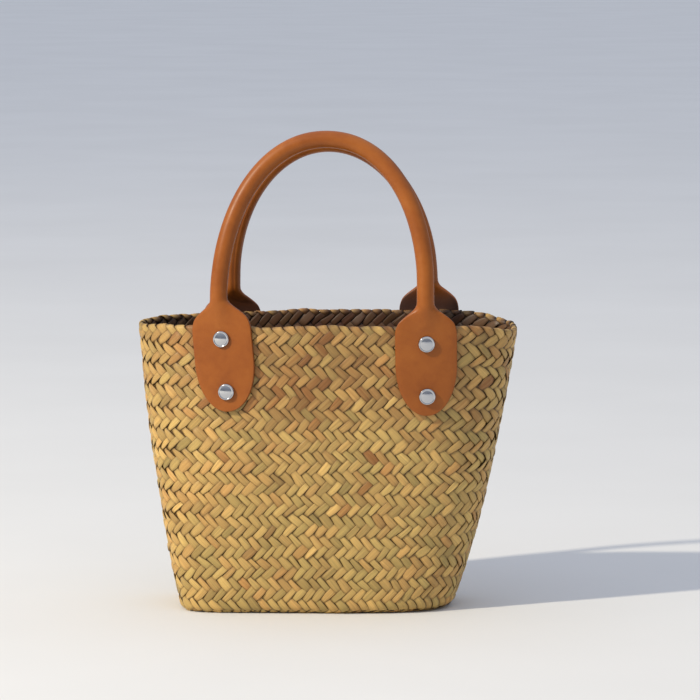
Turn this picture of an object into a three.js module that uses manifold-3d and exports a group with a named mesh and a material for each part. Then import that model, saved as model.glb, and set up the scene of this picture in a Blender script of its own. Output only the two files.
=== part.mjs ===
// A small straw basket handbag: a plaited basket with a turned rim, two rolled leather handles, and
// the double-capped rivets that hold the handles' tabs to the basket's wall.
// Millimetres, +Z up, the front towards -Y. The origin is on the floor, under the middle of the bag.
import * as THREE from 'three';
import { mergeVertices } from 'three/addons/utils/BufferGeometryUtils.js';
import Module from 'manifold-3d';

const wasm = await Module();
wasm.setup();

// Basket
const BASKET_HEIGHT = 190; // floor to the rim, at the middle of the front
const MOUTH_WIDTH = 249; // over the outside of the rim
const MOUTH_DEPTH = 110; // over the outside of the rim
const WALL = 2; // two crossing layers of straw
const HEM_FOLD = 1.6; // added to the wall by the straw turned down inside it
const HEM_HEIGHT = 18; // how far the straw is turned down inside
const HEM_TAPER = 2; // height over which the hem thins into the wall
const FOOT_RADIUS = { left: 3, right: 8 }; // rounding between the wall and the base, at each end
const RIM_DIP = { left: 2.6, right: 5.6 }; // how much lower the rim lies at each end
const RIM_DIP_REACH = { left: 1.6, right: 7 }; // a larger number keeps the dip nearer the end

// Handles
const TAB_LENGTH = 75; // from the tab's lower end to the neck
const TAB_WIDTH = 40;
const TAB_THICKNESS = 2.6;
const NECK_RISE = { front: { left: 19.4, right: 17 }, back: { left: 17.2, right: 22 } }; // above the rim
// Where a tab's neck stands across the bag, and how many degrees its lower end leans to the middle.
const TAB_PLACE = { front: { left: -68.8, right: 64.6 }, back: { left: -65.5, right: 66.3 } };
const TAB_TILT = { front: { left: 5.4, right: -0.8 }, back: { left: 0, right: 0.5 } };
const ROLL_DIAMETER = 11.2;
const ROLL_PROUD = 2.4; // how far the roll's front stands before the tab's front at the neck
const HANDLE_RISE = { front: 101.3, back: 93.2 }; // from the necks to the middle of the roll at the top
const HANDLE_SQUARENESS = { front: 2.1, back: 2 }; // of the arch, where 2 is an ellipse
const HANDLE_LEAN = 19; // how far the top leans in from above the necks
const HANDLE_LEAN_CURVE = 1.5; // a larger number keeps the handle's legs more upright
const HANDLE_SKEW = { front: 3.4, back: -2.6 }; // how far the top stands towards +X from the middle

// Rivets
const CAP_DIAMETER = 10.8;
const CAP_HEIGHT = 2.2;
const INNER_CAP_DIAMETER = 9;
const INNER_CAP_HEIGHT = 1.4;
const POST_DIAMETER = 3.6;
const RIVET_INSET = 13; // from the tab's lower end to the lower rivet
const RIVET_SPACING = 34.3;

const GAP = 0.3; // between pieces that lie on each other
const RING_POINTS = 72; // round the basket
const RING_MEASURES = 720; // steps that measure a ring's length
const FOOT_TURNS = [0, 30, 60, 90]; // degrees round the foot's arc, from the base to the wall
const RIM_ROUND = 0.33; // the rim's rounding, as a share of the hem's wall
const SECTION_POINTS = 16; // round a handle's section
const SECTION_SQUARENESS = 6; // of a tab's section, where 2 is an ellipse
const RIDGE_SHARPNESS = 3; // a larger number makes the ridge on a tab narrower
const ARCH_POINTS = 16; // on the middle line, from neck to neck
const ARCH_SECTIONS = 26;
const LINE_MEASURES = 600; // steps that measure a handle's middle line
const TAB_STATIONS = [0, 0.35, 0.7, 0.9]; // shares of TAB_LENGTH where the middle line has a point
const SEAT_SHARES = [0, 0.25, 0.5, 0.75, 1]; // of a tab's length and width, where its seat is measured
const RIVET_SIDES = 12;

const HEM_WALL = WALL + HEM_FOLD;

// The basket's outline, from the floor to the rim. height is a share of BASKET_HEIGHT, width and shift
// of MOUTH_WIDTH, and depth of MOUTH_DEPTH. shift moves the outline towards +X. left and right say how
// square each end is: 2 is an ellipse, and a larger number is nearer a rectangle.
const LEVELS = [
  { height: 0.0, width: 0.717, depth: 0.79, shift: -0.0267, left: 6.0, right: 3.2 },
  { height: 0.14, width: 0.776, depth: 0.822, shift: -0.0213, left: 5.0, right: 3.2 },
  { height: 0.28, width: 0.825, depth: 0.854, shift: -0.0169, left: 4.2, right: 3.2 },
  { height: 0.43, width: 0.871, depth: 0.888, shift: -0.0124, left: 3.5, right: 3.3 },
  { height: 0.58, width: 0.911, depth: 0.92, shift: -0.0106, left: 2.9, right: 3.3 },
  { height: 0.74, width: 0.949, depth: 0.952, shift: -0.006, left: 2.5, right: 3.4 },
  { height: 0.88, width: 0.976, depth: 0.979, shift: -0.0028, left: 2.2, right: 3.4 },
  { height: 1.0, width: 1.0, depth: 1.0, shift: 0.0, left: 2.0, right: 3.5 },
];

// A tab's sections, from its lower end to the neck. along is a share of TAB_LENGTH, half of half
// TAB_WIDTH, ridge of ROLL_PROUD, and rolled says how far the flat leather has closed into the roll.
const TAB_SECTIONS = [
  { along: 0.0, half: 0.16, ridge: 0, rolled: 0 },
  { along: 0.02, half: 0.303, ridge: 0, rolled: 0 },
  { along: 0.053, half: 0.484, ridge: 0, rolled: 0 },
  { along: 0.105, half: 0.661, ridge: 0, rolled: 0 },
  { along: 0.171, half: 0.805, ridge: 0, rolled: 0 },
  { along: 0.25, half: 0.914, ridge: 0, rolled: 0 },
  { along: 0.342, half: 0.982, ridge: 0, rolled: 0 },
  { along: 0.447, half: 1.0, ridge: 0, rolled: 0 },
  { along: 0.7, half: 1.0, ridge: 0, rolled: 0 },
  { along: 0.735, half: 0.99, ridge: 0.08, rolled: 0 },
  { along: 0.775, half: 0.955, ridge: 0.26, rolled: 0.02 },
  { along: 0.816, half: 0.875, ridge: 0.4, rolled: 0.06 },
  { along: 0.855, half: 0.725, ridge: 0.48, rolled: 0.16 },
  { along: 0.89, half: 0.555, ridge: 0.46, rolled: 0.34 },
  { along: 0.925, half: 0.385, ridge: 0.32, rolled: 0.64 },
  { along: 0.96, half: 0.298, ridge: 0.12, rolled: 0.9 },
  { along: 1.0, half: ROLL_DIAMETER / TAB_WIDTH, ridge: 0, rolled: 1 },
];

// A rivet's two caps, from the rim where each one lies on the leather or the straw to its top. radius
// is a share of half the cap's diameter, and height of its height.
const CAP_PROFILE = [
  { radius: 1, height: 0 },
  { radius: 1, height: 0.35 },
  { radius: 0.86, height: 0.75 },
  { radius: 0.5, height: 0.97 },
  { radius: 0, height: 1 },
];
const INNER_CAP_PROFILE = [
  { radius: 1, height: 0 },
  { radius: 1, height: 0.4 },
  { radius: 0.7, height: 1 },
  { radius: 0, height: 1 },
];

const SIDES = { front: -1, back: 1 };
const ENDS = { left: -1, right: 1 };

// A cubic through a table's rows, for the column named, at a value of the table's first column.
function smoothColumn(table, key, column, value) {
  const last = table.length - 1;
  let i = 0;
  while (i < last - 1 && value > table[i + 1][key]) i++;
  const slope = (k) => {
    const [before, after] = [table[Math.max(k - 1, 0)], table[Math.min(k + 1, last)]];
    return (after[column] - before[column]) / (after[key] - before[key]);
  };
  const [low, high] = [table[i], table[i + 1]];
  const span = high[key] - low[key];
  const t = THREE.MathUtils.clamp((value - low[key]) / span, 0, 1);
  const [t2, t3] = [t * t, t * t * t];
  return (
    (2 * t3 - 3 * t2 + 1) * low[column] +
    (t3 - 2 * t2 + t) * span * slope(i) +
    (3 * t2 - 2 * t3) * high[column] +
    (t3 - t2) * span * slope(i + 1)
  );
}

// How far round from the left end to the right an angle lies, where 0 is the middle of the front and
// 90 degrees the right end.
function endShare(angle) {
  return (1 + Math.sin(angle)) / 2;
}

// The half sizes, middle and squareness of the basket's outline at a height, drawn in by inset.
function outlineAt(height, inset) {
  const share = height / BASKET_HEIGHT;
  const column = (name) => smoothColumn(LEVELS, 'height', name, share);
  return {
    halfWidth: (column('width') * MOUTH_WIDTH) / 2 - inset,
    halfDepth: (column('depth') * MOUTH_DEPTH) / 2 - inset,
    middle: column('shift') * MOUTH_WIDTH,
    left: column('left'),
    right: column('right'),
  };
}

// How much lower than the front a point of the basket lies, at a share of the half width.
function dipAt(height, shareOfHalf) {
  const end = shareOfHalf < 0 ? 'left' : 'right';
  return RIM_DIP[end] * (height / BASKET_HEIGHT) ** 2 * Math.abs(shareOfHalf) ** RIM_DIP_REACH[end];
}

// The basket's point at an angle and a height. inset is the depth inside the outer face.
function basketPoint(angle, height, inset) {
  const outline = outlineAt(height, inset);
  const [across, forward] = [Math.sin(angle), Math.cos(angle)];
  const squareness = across < 0 ? outline.left : outline.right;
  const x = Math.sign(across) * Math.abs(across) ** (2 / squareness);
  const y = -Math.sign(forward) * Math.abs(forward) ** (2 / squareness);
  return new THREE.Vector3(
    outline.middle + outline.halfWidth * x,
    outline.halfDepth * y,
    height - dipAt(height, x),
  );
}

// Evenly spaced points of a closed curve, given as its point at an angle.
function evenRing(pointAt) {
  const points = [];
  const lengths = [0];
  for (let i = 0; i <= RING_MEASURES; i++) {
    points.push(pointAt((i / RING_MEASURES) * 2 * Math.PI));
    if (i > 0) lengths.push(lengths[i - 1] + points[i].distanceTo(points[i - 1]));
  }
  const ring = [];
  let i = 0;
  for (let k = 0; k < RING_POINTS; k++) {
    const wanted = (lengths[RING_MEASURES] * k) / RING_POINTS;
    while (lengths[i + 1] < wanted) i++;
    const part = (wanted - lengths[i]) / (lengths[i + 1] - lengths[i]);
    ring.push(points[i].clone().lerp(points[i + 1], part));
  }
  return ring;
}

// A ring of the wall at a height. lift moves it up or down without changing its outline.
function wallRing(height, inset = 0, lift = 0) {
  return evenRing((angle) => {
    const point = basketPoint(angle, height, inset);
    return point.setZ(point.z + lift);
  });
}

// A ring of the rounded foot, where turn goes from 0 at the base to 90 degrees at the wall.
function footRing(turn, inset = 0) {
  const [rise, reach] = [Math.cos(turn), Math.sin(turn)];
  return evenRing((angle) => {
    const radius = THREE.MathUtils.lerp(FOOT_RADIUS.left, FOOT_RADIUS.right, endShare(angle));
    const arc = radius - inset;
    return basketPoint(angle, radius - arc * rise, radius - arc * reach);
  });
}

// Joins rings of equally many points into one closed surface, with a fan over each end.
function loft(rings) {
  const count = rings[0].length;
  const points = rings.flat();
  const index = [];
  for (let r = 0; r + 1 < rings.length; r++) {
    for (let i = 0; i < count; i++) {
      const [a, b] = [r * count + i, r * count + ((i + 1) % count)];
      index.push(a, b, b + count, a, b + count, a + count);
    }
  }
  const first = 0;
  const last = (rings.length - 1) * count;
  for (const start of [first, last]) {
    const middle = new THREE.Vector3();
    for (let i = 0; i < count; i++) middle.addScaledVector(points[start + i], 1 / count);
    points.push(middle);
    for (let i = 0; i < count; i++) {
      const [a, b] = [start + i, start + ((i + 1) % count)];
      index.push(points.length - 1, ...(start === first ? [b, a] : [a, b]));
    }
  }
  const geometry = new THREE.BufferGeometry().setFromPoints(points);
  geometry.setIndex(index);
  return geometry;
}

// A geometry as a manifold solid.
function toSolid(geometry) {
  const bare = geometry.clone();
  bare.deleteAttribute('normal');
  bare.deleteAttribute('uv');
  const merged = mergeVertices(bare);
  const vertProperties = new Float32Array(merged.getAttribute('position').array);
  const triVerts = new Uint32Array(merged.getIndex().array);
  return new wasm.Manifold(new wasm.Mesh({ numProp: 3, vertProperties, triVerts }));
}

// A manifold solid as a geometry.
function toGeometry(solid) {
  const mesh = solid.getMesh();
  const geometry = new THREE.BufferGeometry();
  geometry.setAttribute('position', new THREE.BufferAttribute(new Float32Array(mesh.vertProperties), 3));
  geometry.setIndex(new THREE.BufferAttribute(new Uint32Array(mesh.triVerts), 1));
  return geometry;
}

// The basket before its rivet holes: up the outside, over the rim, and down the hem and the inside.
function basketSolid() {
  const turns = FOOT_TURNS.map(THREE.MathUtils.degToRad);
  const wall = LEVELS.slice(1, -1).map((row) => row.height * BASKET_HEIGHT);
  const hemFoot = BASKET_HEIGHT - HEM_HEIGHT;
  const innerWall = wall.filter((height) => height < hemFoot - HEM_TAPER).reverse();
  const rimRound = HEM_WALL * RIM_ROUND;
  const rings = [
    ...turns.map((turn) => footRing(turn)),
    ...wall.map((height) => wallRing(height)),
    wallRing(BASKET_HEIGHT, 0, -rimRound),
    wallRing(BASKET_HEIGHT, rimRound),
    wallRing(BASKET_HEIGHT, HEM_WALL - rimRound),
    wallRing(BASKET_HEIGHT, HEM_WALL, -rimRound),
    wallRing(hemFoot, HEM_WALL),
    wallRing(hemFoot - HEM_TAPER, WALL),
    ...innerWall.map((height) => wallRing(height, WALL)),
    ...turns.map((turn) => footRing(turn, WALL)).reverse(),
  ];
  return toSolid(loft(rings));
}

// A place on the wall across the front or back. inset is the depth inside the outer face.
function wallPoint(side, across, height, inset = 0) {
  const outline = outlineAt(height, inset);
  const share = (across - outline.middle) / outline.halfWidth;
  const squareness = share < 0 ? outline.left : outline.right;
  const y = SIDES[side] * outline.halfDepth * (1 - Math.abs(share) ** squareness) ** (1 / squareness);
  return new THREE.Vector3(across, y, height - dipAt(height, share));
}

// Where a tab lies: origin is on the wall at the tab's lower end, up runs along the tab towards the
// neck, out points away from the wall, and lift is how far the tab's back stands off origin.
function tabSeat(side, end) {
  const tilt = THREE.MathUtils.degToRad(TAB_TILT[side][end]);
  const neckAcross = TAB_PLACE[side][end];
  const footAcross = neckAcross - ENDS[end] * TAB_LENGTH * Math.sin(tilt);
  const drop = TAB_LENGTH - NECK_RISE[side][end];
  const [footHeight, rimHeight] = [BASKET_HEIGHT - drop, BASKET_HEIGHT];
  const rimAcross = THREE.MathUtils.lerp(footAcross, neckAcross, drop / TAB_LENGTH);
  const origin = wallPoint(side, footAcross, footHeight);
  const up = wallPoint(side, rimAcross, rimHeight).sub(origin).normalize();
  const middleHeight = (footHeight + rimHeight) / 2;
  const middleAcross = (footAcross + rimAcross) / 2;
  const level = wallPoint(side, middleAcross + TAB_WIDTH / 2, middleHeight);
  level.sub(wallPoint(side, middleAcross - TAB_WIDTH / 2, middleHeight));
  const out = new THREE.Vector3().crossVectors(level, up).normalize().multiplyScalar(-SIDES[side]);
  const standing = [];
  for (const height of SEAT_SHARES) {
    for (const across of SEAT_SHARES) {
      const z = THREE.MathUtils.lerp(footHeight, rimHeight, height);
      const x = THREE.MathUtils.lerp(footAcross, rimAcross, height) + (across - 0.5) * TAB_WIDTH;
      standing.push(wallPoint(side, x, z).sub(origin).dot(out));
    }
  }
  return { origin, up, out, lift: Math.max(...standing) + GAP };
}

// The middle line of a handle, through both tabs and over the arch, with how far each place lies along.
function handleLine(side) {
  const seats = { left: tabSeat(side, 'left'), right: tabSeat(side, 'right') };
  const tabPoint = (end, along) => {
    const { origin, up, out, lift } = seats[end];
    return origin.clone().addScaledVector(up, along).addScaledVector(out, lift + TAB_THICKNESS / 2);
  };
  const necks = [tabPoint('left', TAB_LENGTH), tabPoint('right', TAB_LENGTH)];
  const straight = TAB_STATIONS.map((share) => share * TAB_LENGTH);
  const points = straight.map((along) => tabPoint('left', along));
  const squareness = HANDLE_SQUARENESS[side];
  for (let i = 0; i <= ARCH_POINTS; i++) {
    const angle = (Math.PI * i) / ARCH_POINTS;
    const across = -Math.sign(Math.cos(angle)) * Math.abs(Math.cos(angle)) ** (2 / squareness);
    const rise = Math.sin(angle) ** (2 / squareness);
    const place = necks[0].clone().lerp(necks[1], (across + 1) / 2);
    place.x += HANDLE_SKEW[side] * rise;
    place.y -= SIDES[side] * HANDLE_LEAN * rise ** HANDLE_LEAN_CURVE;
    place.z += HANDLE_RISE[side] * rise;
    points.push(place);
  }
  points.push(...straight.reverse().map((along) => tabPoint('right', along)));
  const curve = new THREE.CatmullRomCurve3(points, false, 'centripetal');
  curve.arcLengthDivisions = LINE_MEASURES;
  return { side, curve, seats, length: curve.getLength() };
}

// How far a place of a tab's back moves towards the wall, so that the flat leather lies along it.
function drapeAt(line, end, place) {
  const { origin, out, lift } = line.seats[end];
  const wall = wallPoint(line.side, place.x, Math.min(place.z, BASKET_HEIGHT));
  return wall.sub(origin).dot(out) + GAP - lift;
}

// One section of a handle: a ring about the middle line, flat in a tab and round in the roll.
function handleSection(line, { along, half, ridge, rolled }) {
  const share = THREE.MathUtils.clamp(along / line.length, 0, 1);
  const middle = line.curve.getPointAt(share);
  const tangent = line.curve.getTangentAt(share);
  const out = line.seats.left.out.clone().lerp(line.seats.right.out, share).normalize();
  const end = share < 0.5 ? 'left' : 'right';
  out.lerp(line.seats[end].out, 1 - rolled ** 4);
  out.addScaledVector(tangent, -out.dot(tangent)).normalize();
  const wide = new THREE.Vector3().crossVectors(out, tangent);
  const thick = THREE.MathUtils.lerp(TAB_THICKNESS / 2, ROLL_DIAMETER / 2, rolled);
  const back = rolled * (ROLL_DIAMETER / 2 - TAB_THICKNESS / 2 - ROLL_PROUD);
  const squareness = 2 + (SECTION_SQUARENESS - 2) * (1 - rolled) ** 3;
  const ring = [];
  for (let i = 0; i < SECTION_POINTS; i++) {
    const angle = (2 * Math.PI * i) / SECTION_POINTS;
    const [c, s] = [Math.cos(angle), Math.sin(angle)];
    const x = half * Math.sign(c) * Math.abs(c) ** (2 / squareness);
    const hump = s > 0 ? ridge * ROLL_PROUD * Math.exp(-RIDGE_SHARPNESS * (x / ROLL_DIAMETER) ** 2) : 0;
    const y = thick * Math.sign(s) * Math.abs(s) ** (2 / squareness) - back + hump;
    const place = middle.clone().addScaledVector(wide, x);
    const drape = rolled < 1 ? (1 - rolled) * drapeAt(line, end, place) : 0;
    ring.push(place.addScaledVector(out, y + drape));
  }
  return ring;
}

// A handle before its rivet holes: a tab, the neck, the rolled arch and the other tab, in one piece.
function handleSolid(line) {
  const tab = TAB_SECTIONS.map((row) => ({
    ...row,
    along: row.along * TAB_LENGTH,
    half: (row.half * TAB_WIDTH) / 2,
  }));
  const arch = [];
  const archLength = line.length - 2 * TAB_LENGTH;
  for (let i = 1; i < ARCH_SECTIONS; i++) {
    const along = TAB_LENGTH + (archLength * i) / ARCH_SECTIONS;
    arch.push({ along, half: ROLL_DIAMETER / 2, ridge: 0, rolled: 1 });
  }
  const otherTab = tab.map((row) => ({ ...row, along: line.length - row.along })).reverse();
  const rows = [...tab, ...arch, ...otherTab];
  return toSolid(loft(rows.map((row) => handleSection(line, row))));
}

// How far the wall's inner face lies behind a rivet's place, at its deepest under the inner cap.
function stackBehind(side, at, out) {
  const depths = [];
  for (const across of [-0.5, 0, 0.5]) {
    for (const rise of [-0.5, 0, 0.5]) {
      const [x, z] = [at.x + across * INNER_CAP_DIAMETER, at.z + rise * INNER_CAP_DIAMETER];
      const inset = z > BASKET_HEIGHT - HEM_HEIGHT - HEM_TAPER ? HEM_WALL : WALL;
      depths.push(at.clone().sub(wallPoint(side, x, z, inset)).dot(out));
    }
  }
  return Math.max(...depths);
}

// Where each rivet of one tab goes: at lies on the tab's back face, stack is the depth from there to
// the wall's inner face, and front is how far the leather's face stands before at under the cap.
function rivetSeats(line, side, end) {
  const { origin, up, out, lift } = line.seats[end];
  const alongs = { lower: RIVET_INSET, upper: RIVET_INSET + RIVET_SPACING };
  return Object.entries(alongs).map(([name, along]) => {
    const at = origin.clone().addScaledVector(up, along).addScaledVector(out, lift);
    at.addScaledVector(out, drapeAt(line, end, at));
    const capTop = (along + CAP_DIAMETER / 2) / TAB_LENGTH;
    const proud = ['ridge', 'rolled'].map((key) => smoothColumn(TAB_SECTIONS, 'along', key, capTop));
    const front = TAB_THICKNESS + ROLL_PROUD * Math.max(0, ...proud);
    const stack = stackBehind(side, at, out);
    return { name: `rivet_${side}_${end}_${name}`, at, out, front, stack };
  });
}

// Turns a geometry made along +Z to a rivet's seat, with z = 0 on the tab's back face.
function seated(geometry, seat) {
  const turn = new THREE.Quaternion().setFromUnitVectors(new THREE.Vector3(0, 0, 1), seat.out);
  return geometry.applyQuaternion(turn).translate(seat.at.x, seat.at.y, seat.at.z);
}

// The hole that a rivet's post passes through, as a cutter longer than the stack.
function holeCutter(seat) {
  const length = 2 * (seat.stack + TAB_THICKNESS + ROLL_DIAMETER);
  const radius = POST_DIAMETER / 2 + GAP;
  const hole = new THREE.CylinderGeometry(radius, radius, length, RIVET_SIDES);
  return toSolid(seated(hole.rotateX(Math.PI / 2), seat));
}

// A rivet: a domed cap on the leather, a post through the stack, and a plainer cap inside the wall.
function rivetGeometry(seat) {
  const [front, back] = [seat.front + GAP, -seat.stack - GAP];
  const innerCap = INNER_CAP_PROFILE.map(({ radius, height }) => {
    return new THREE.Vector2((radius * INNER_CAP_DIAMETER) / 2, back - height * INNER_CAP_HEIGHT);
  });
  const post = [back, front].map((z) => new THREE.Vector2(POST_DIAMETER / 2, z));
  const cap = CAP_PROFILE.map(({ radius, height }) => {
    return new THREE.Vector2((radius * CAP_DIAMETER) / 2, front + height * CAP_HEIGHT);
  });
  const profile = [...innerCap.reverse(), ...post, ...cap];
  const lathe = new THREE.LatheGeometry(profile, RIVET_SIDES).rotateX(Math.PI / 2);
  return toGeometry(toSolid(seated(lathe, seat)));
}

function named(name, geometry, material) {
  geometry.computeVertexNormals();
  const mesh = new THREE.Mesh(geometry, material);
  mesh.name = name;
  return mesh;
}

function buildBag() {
  const straw = new THREE.MeshStandardMaterial({ color: 0xbc9a60, roughness: 0.85, metalness: 0 });
  const leather = new THREE.MeshStandardMaterial({ color: 0xa85c28, roughness: 0.45, metalness: 0 });
  const metal = new THREE.MeshStandardMaterial({ color: 0xc8c8cc, roughness: 0.15, metalness: 1 });
  const bag = new THREE.Group();
  let basket = basketSolid();
  for (const side of Object.keys(SIDES)) {
    const line = handleLine(side);
    let handle = handleSolid(line);
    const sideGroup = new THREE.Group();
    for (const end of Object.keys(ENDS)) {
      for (const seat of rivetSeats(line, side, end)) {
        const cutter = holeCutter(seat);
        basket = basket.subtract(cutter);
        handle = handle.subtract(cutter);
        sideGroup.add(named(seat.name, rivetGeometry(seat), metal));
      }
    }
    sideGroup.add(named(`${side}_handle`, toGeometry(handle), leather));
    bag.add(sideGroup);
  }
  bag.add(named('basket_body', toGeometry(basket), straw));
  return bag;
}

export default buildBag();
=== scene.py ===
"""A small straw basket handbag: a plaited basket, two rolled leather handles and capped rivets.

Lengths are in metres, +Z is up, and the front faces -Y. The forms of the wall and the handles
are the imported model's own, and the straw is plaited on them strand by strand.
"""
import logging
import math
from dataclasses import dataclass, field
from enum import Enum

import bmesh
import bpy
import numpy as np
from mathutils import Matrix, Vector


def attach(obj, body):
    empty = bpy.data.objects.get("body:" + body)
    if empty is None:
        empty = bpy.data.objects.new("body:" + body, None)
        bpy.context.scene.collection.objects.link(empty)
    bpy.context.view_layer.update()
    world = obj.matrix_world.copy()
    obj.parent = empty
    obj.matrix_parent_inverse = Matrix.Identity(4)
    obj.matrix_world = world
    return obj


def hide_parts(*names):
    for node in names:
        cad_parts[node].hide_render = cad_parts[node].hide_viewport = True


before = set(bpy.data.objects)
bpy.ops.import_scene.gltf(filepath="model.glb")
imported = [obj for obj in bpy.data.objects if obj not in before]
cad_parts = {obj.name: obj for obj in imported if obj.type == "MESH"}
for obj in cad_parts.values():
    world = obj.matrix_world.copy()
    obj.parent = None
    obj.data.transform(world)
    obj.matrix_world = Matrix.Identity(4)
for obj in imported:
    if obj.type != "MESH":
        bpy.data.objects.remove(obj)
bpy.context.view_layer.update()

LOG = logging.getLogger("straw_bag")
MM = 0.001
BODY = "root"
Colour = tuple[float, float, float]
SolidColour = tuple[float, float, float, float]


class Side(Enum):
    """The bag's two long sides, with the sign of their Y."""

    FRONT = -1
    BACK = 1


class End(Enum):
    """The bag's two ends, with the sign of their X."""

    LEFT = -1
    RIGHT = 1


class Slant(Enum):
    """Which way a strand leans as it climbs the wall, seen from outside."""

    RISING = 1
    FALLING = -1


def hermite(
    t: np.ndarray, start: np.ndarray, out: np.ndarray, end: np.ndarray, back: np.ndarray
) -> np.ndarray:
    """Read a cubic that leaves start with slope out and reaches end with slope back."""
    return (
        (2 * t**3 - 3 * t**2 + 1) * start
        + (t**3 - 2 * t**2 + t) * out
        + (3 * t**2 - 2 * t**3) * end
        + (t**3 - t**2) * back
    )


def smooth_column(keys: np.ndarray, values: np.ndarray, at: np.ndarray) -> np.ndarray:
    """Read a cubic through a table's rows.

    Args:
        keys: The table's first column, rising.
        values: The column that is read.
        at: Where it is read.

    Returns:
        The column's value at each place.
    """
    slopes = np.empty_like(values)
    slopes[1:-1] = (values[2:] - values[:-2]) / (keys[2:] - keys[:-2])
    slopes[0] = (values[1] - values[0]) / (keys[1] - keys[0])
    slopes[-1] = (values[-1] - values[-2]) / (keys[-1] - keys[-2])
    row = np.clip(np.searchsorted(keys, at) - 1, 0, len(keys) - 2)
    span = keys[row + 1] - keys[row]
    t = np.clip((at - keys[row]) / span, 0, 1)
    return hermite(t, values[row], span * slopes[row], values[row + 1], span * slopes[row + 1])


def smooth_step(low: float, high: float, at: np.ndarray) -> np.ndarray:
    """Rise smoothly from 0 at low to 1 at high."""
    t = np.clip((at - low) / (high - low), 0, 1)
    return t * t * (3 - 2 * t)


def unit(vectors: np.ndarray) -> np.ndarray:
    """Scale each vector to length 1."""
    return vectors / np.linalg.norm(vectors, axis=-1, keepdims=True)


def dot(a: np.ndarray, b: np.ndarray) -> np.ndarray:
    """Multiply vectors pair by pair."""
    return np.sum(a * b, axis=-1)


def mesh_object(name: str, mesh: bpy.types.Mesh, material: bpy.types.Material) -> bpy.types.Object:
    """Put a mesh into the scene as a smooth object at the origin.

    Args:
        name: The piece's name.
        mesh: Its mesh, with its place in it.
        material: Its finish.

    Returns:
        The new object.
    """
    mesh.name = name
    mesh.materials.append(material)
    mesh.polygons.foreach_set("use_smooth", np.ones(len(mesh.polygons), dtype=bool))
    piece = bpy.data.objects.new(name, mesh)
    bpy.context.scene.collection.objects.link(piece)
    return piece


def bmesh_object(name: str, work: bmesh.types.BMesh, material: bpy.types.Material) -> bpy.types.Object:
    """Turn a finished bmesh into an object, as mesh_object does."""
    mesh = bpy.data.meshes.new(name)
    work.to_mesh(mesh)
    work.free()
    return mesh_object(name, mesh, material)


def lofted(points: np.ndarray, values: dict[str, np.ndarray | float]) -> bmesh.types.BMesh:
    """Stretch a grid over rows of points.

    Args:
        points: By row, column and axis.
        values: A number for each point, or one for all of them, under each attribute's name.

    Returns:
        The grid, not yet closed.
    """
    work = bmesh.new()
    layers = {name: work.verts.layers.float.new(name) for name in values}
    bmesh.ops.create_grid(work, x_segments=points.shape[1] - 1, y_segments=len(points) - 1, size=1)
    numbers = {name: np.broadcast_to(value, points.shape[:2]).ravel() for name, value in values.items()}
    for index, (vert, place) in enumerate(zip(work.verts, points.reshape(-1, 3))):
        vert.co = place
        for name, layer in layers.items():
            vert[layer] = numbers[name][index]
    return work


def ripple(waves: tuple[tuple[float, ...], ...], turn: np.ndarray, run: np.ndarray) -> np.ndarray:
    """Add up waves, each given by its size, its count round the basket, its pace along and its start."""
    return sum(size * np.sin(count * turn + pace * run + start) for size, count, pace, start in waves)


def settle(piece: bpy.types.Object, slot: str, *nodes: str) -> None:
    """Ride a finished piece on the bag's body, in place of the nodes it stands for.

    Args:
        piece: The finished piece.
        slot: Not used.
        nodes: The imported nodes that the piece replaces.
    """
    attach(piece, BODY)
    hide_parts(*nodes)
    LOG.info("%s: %d faces", piece.name, len(piece.data.polygons))


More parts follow.
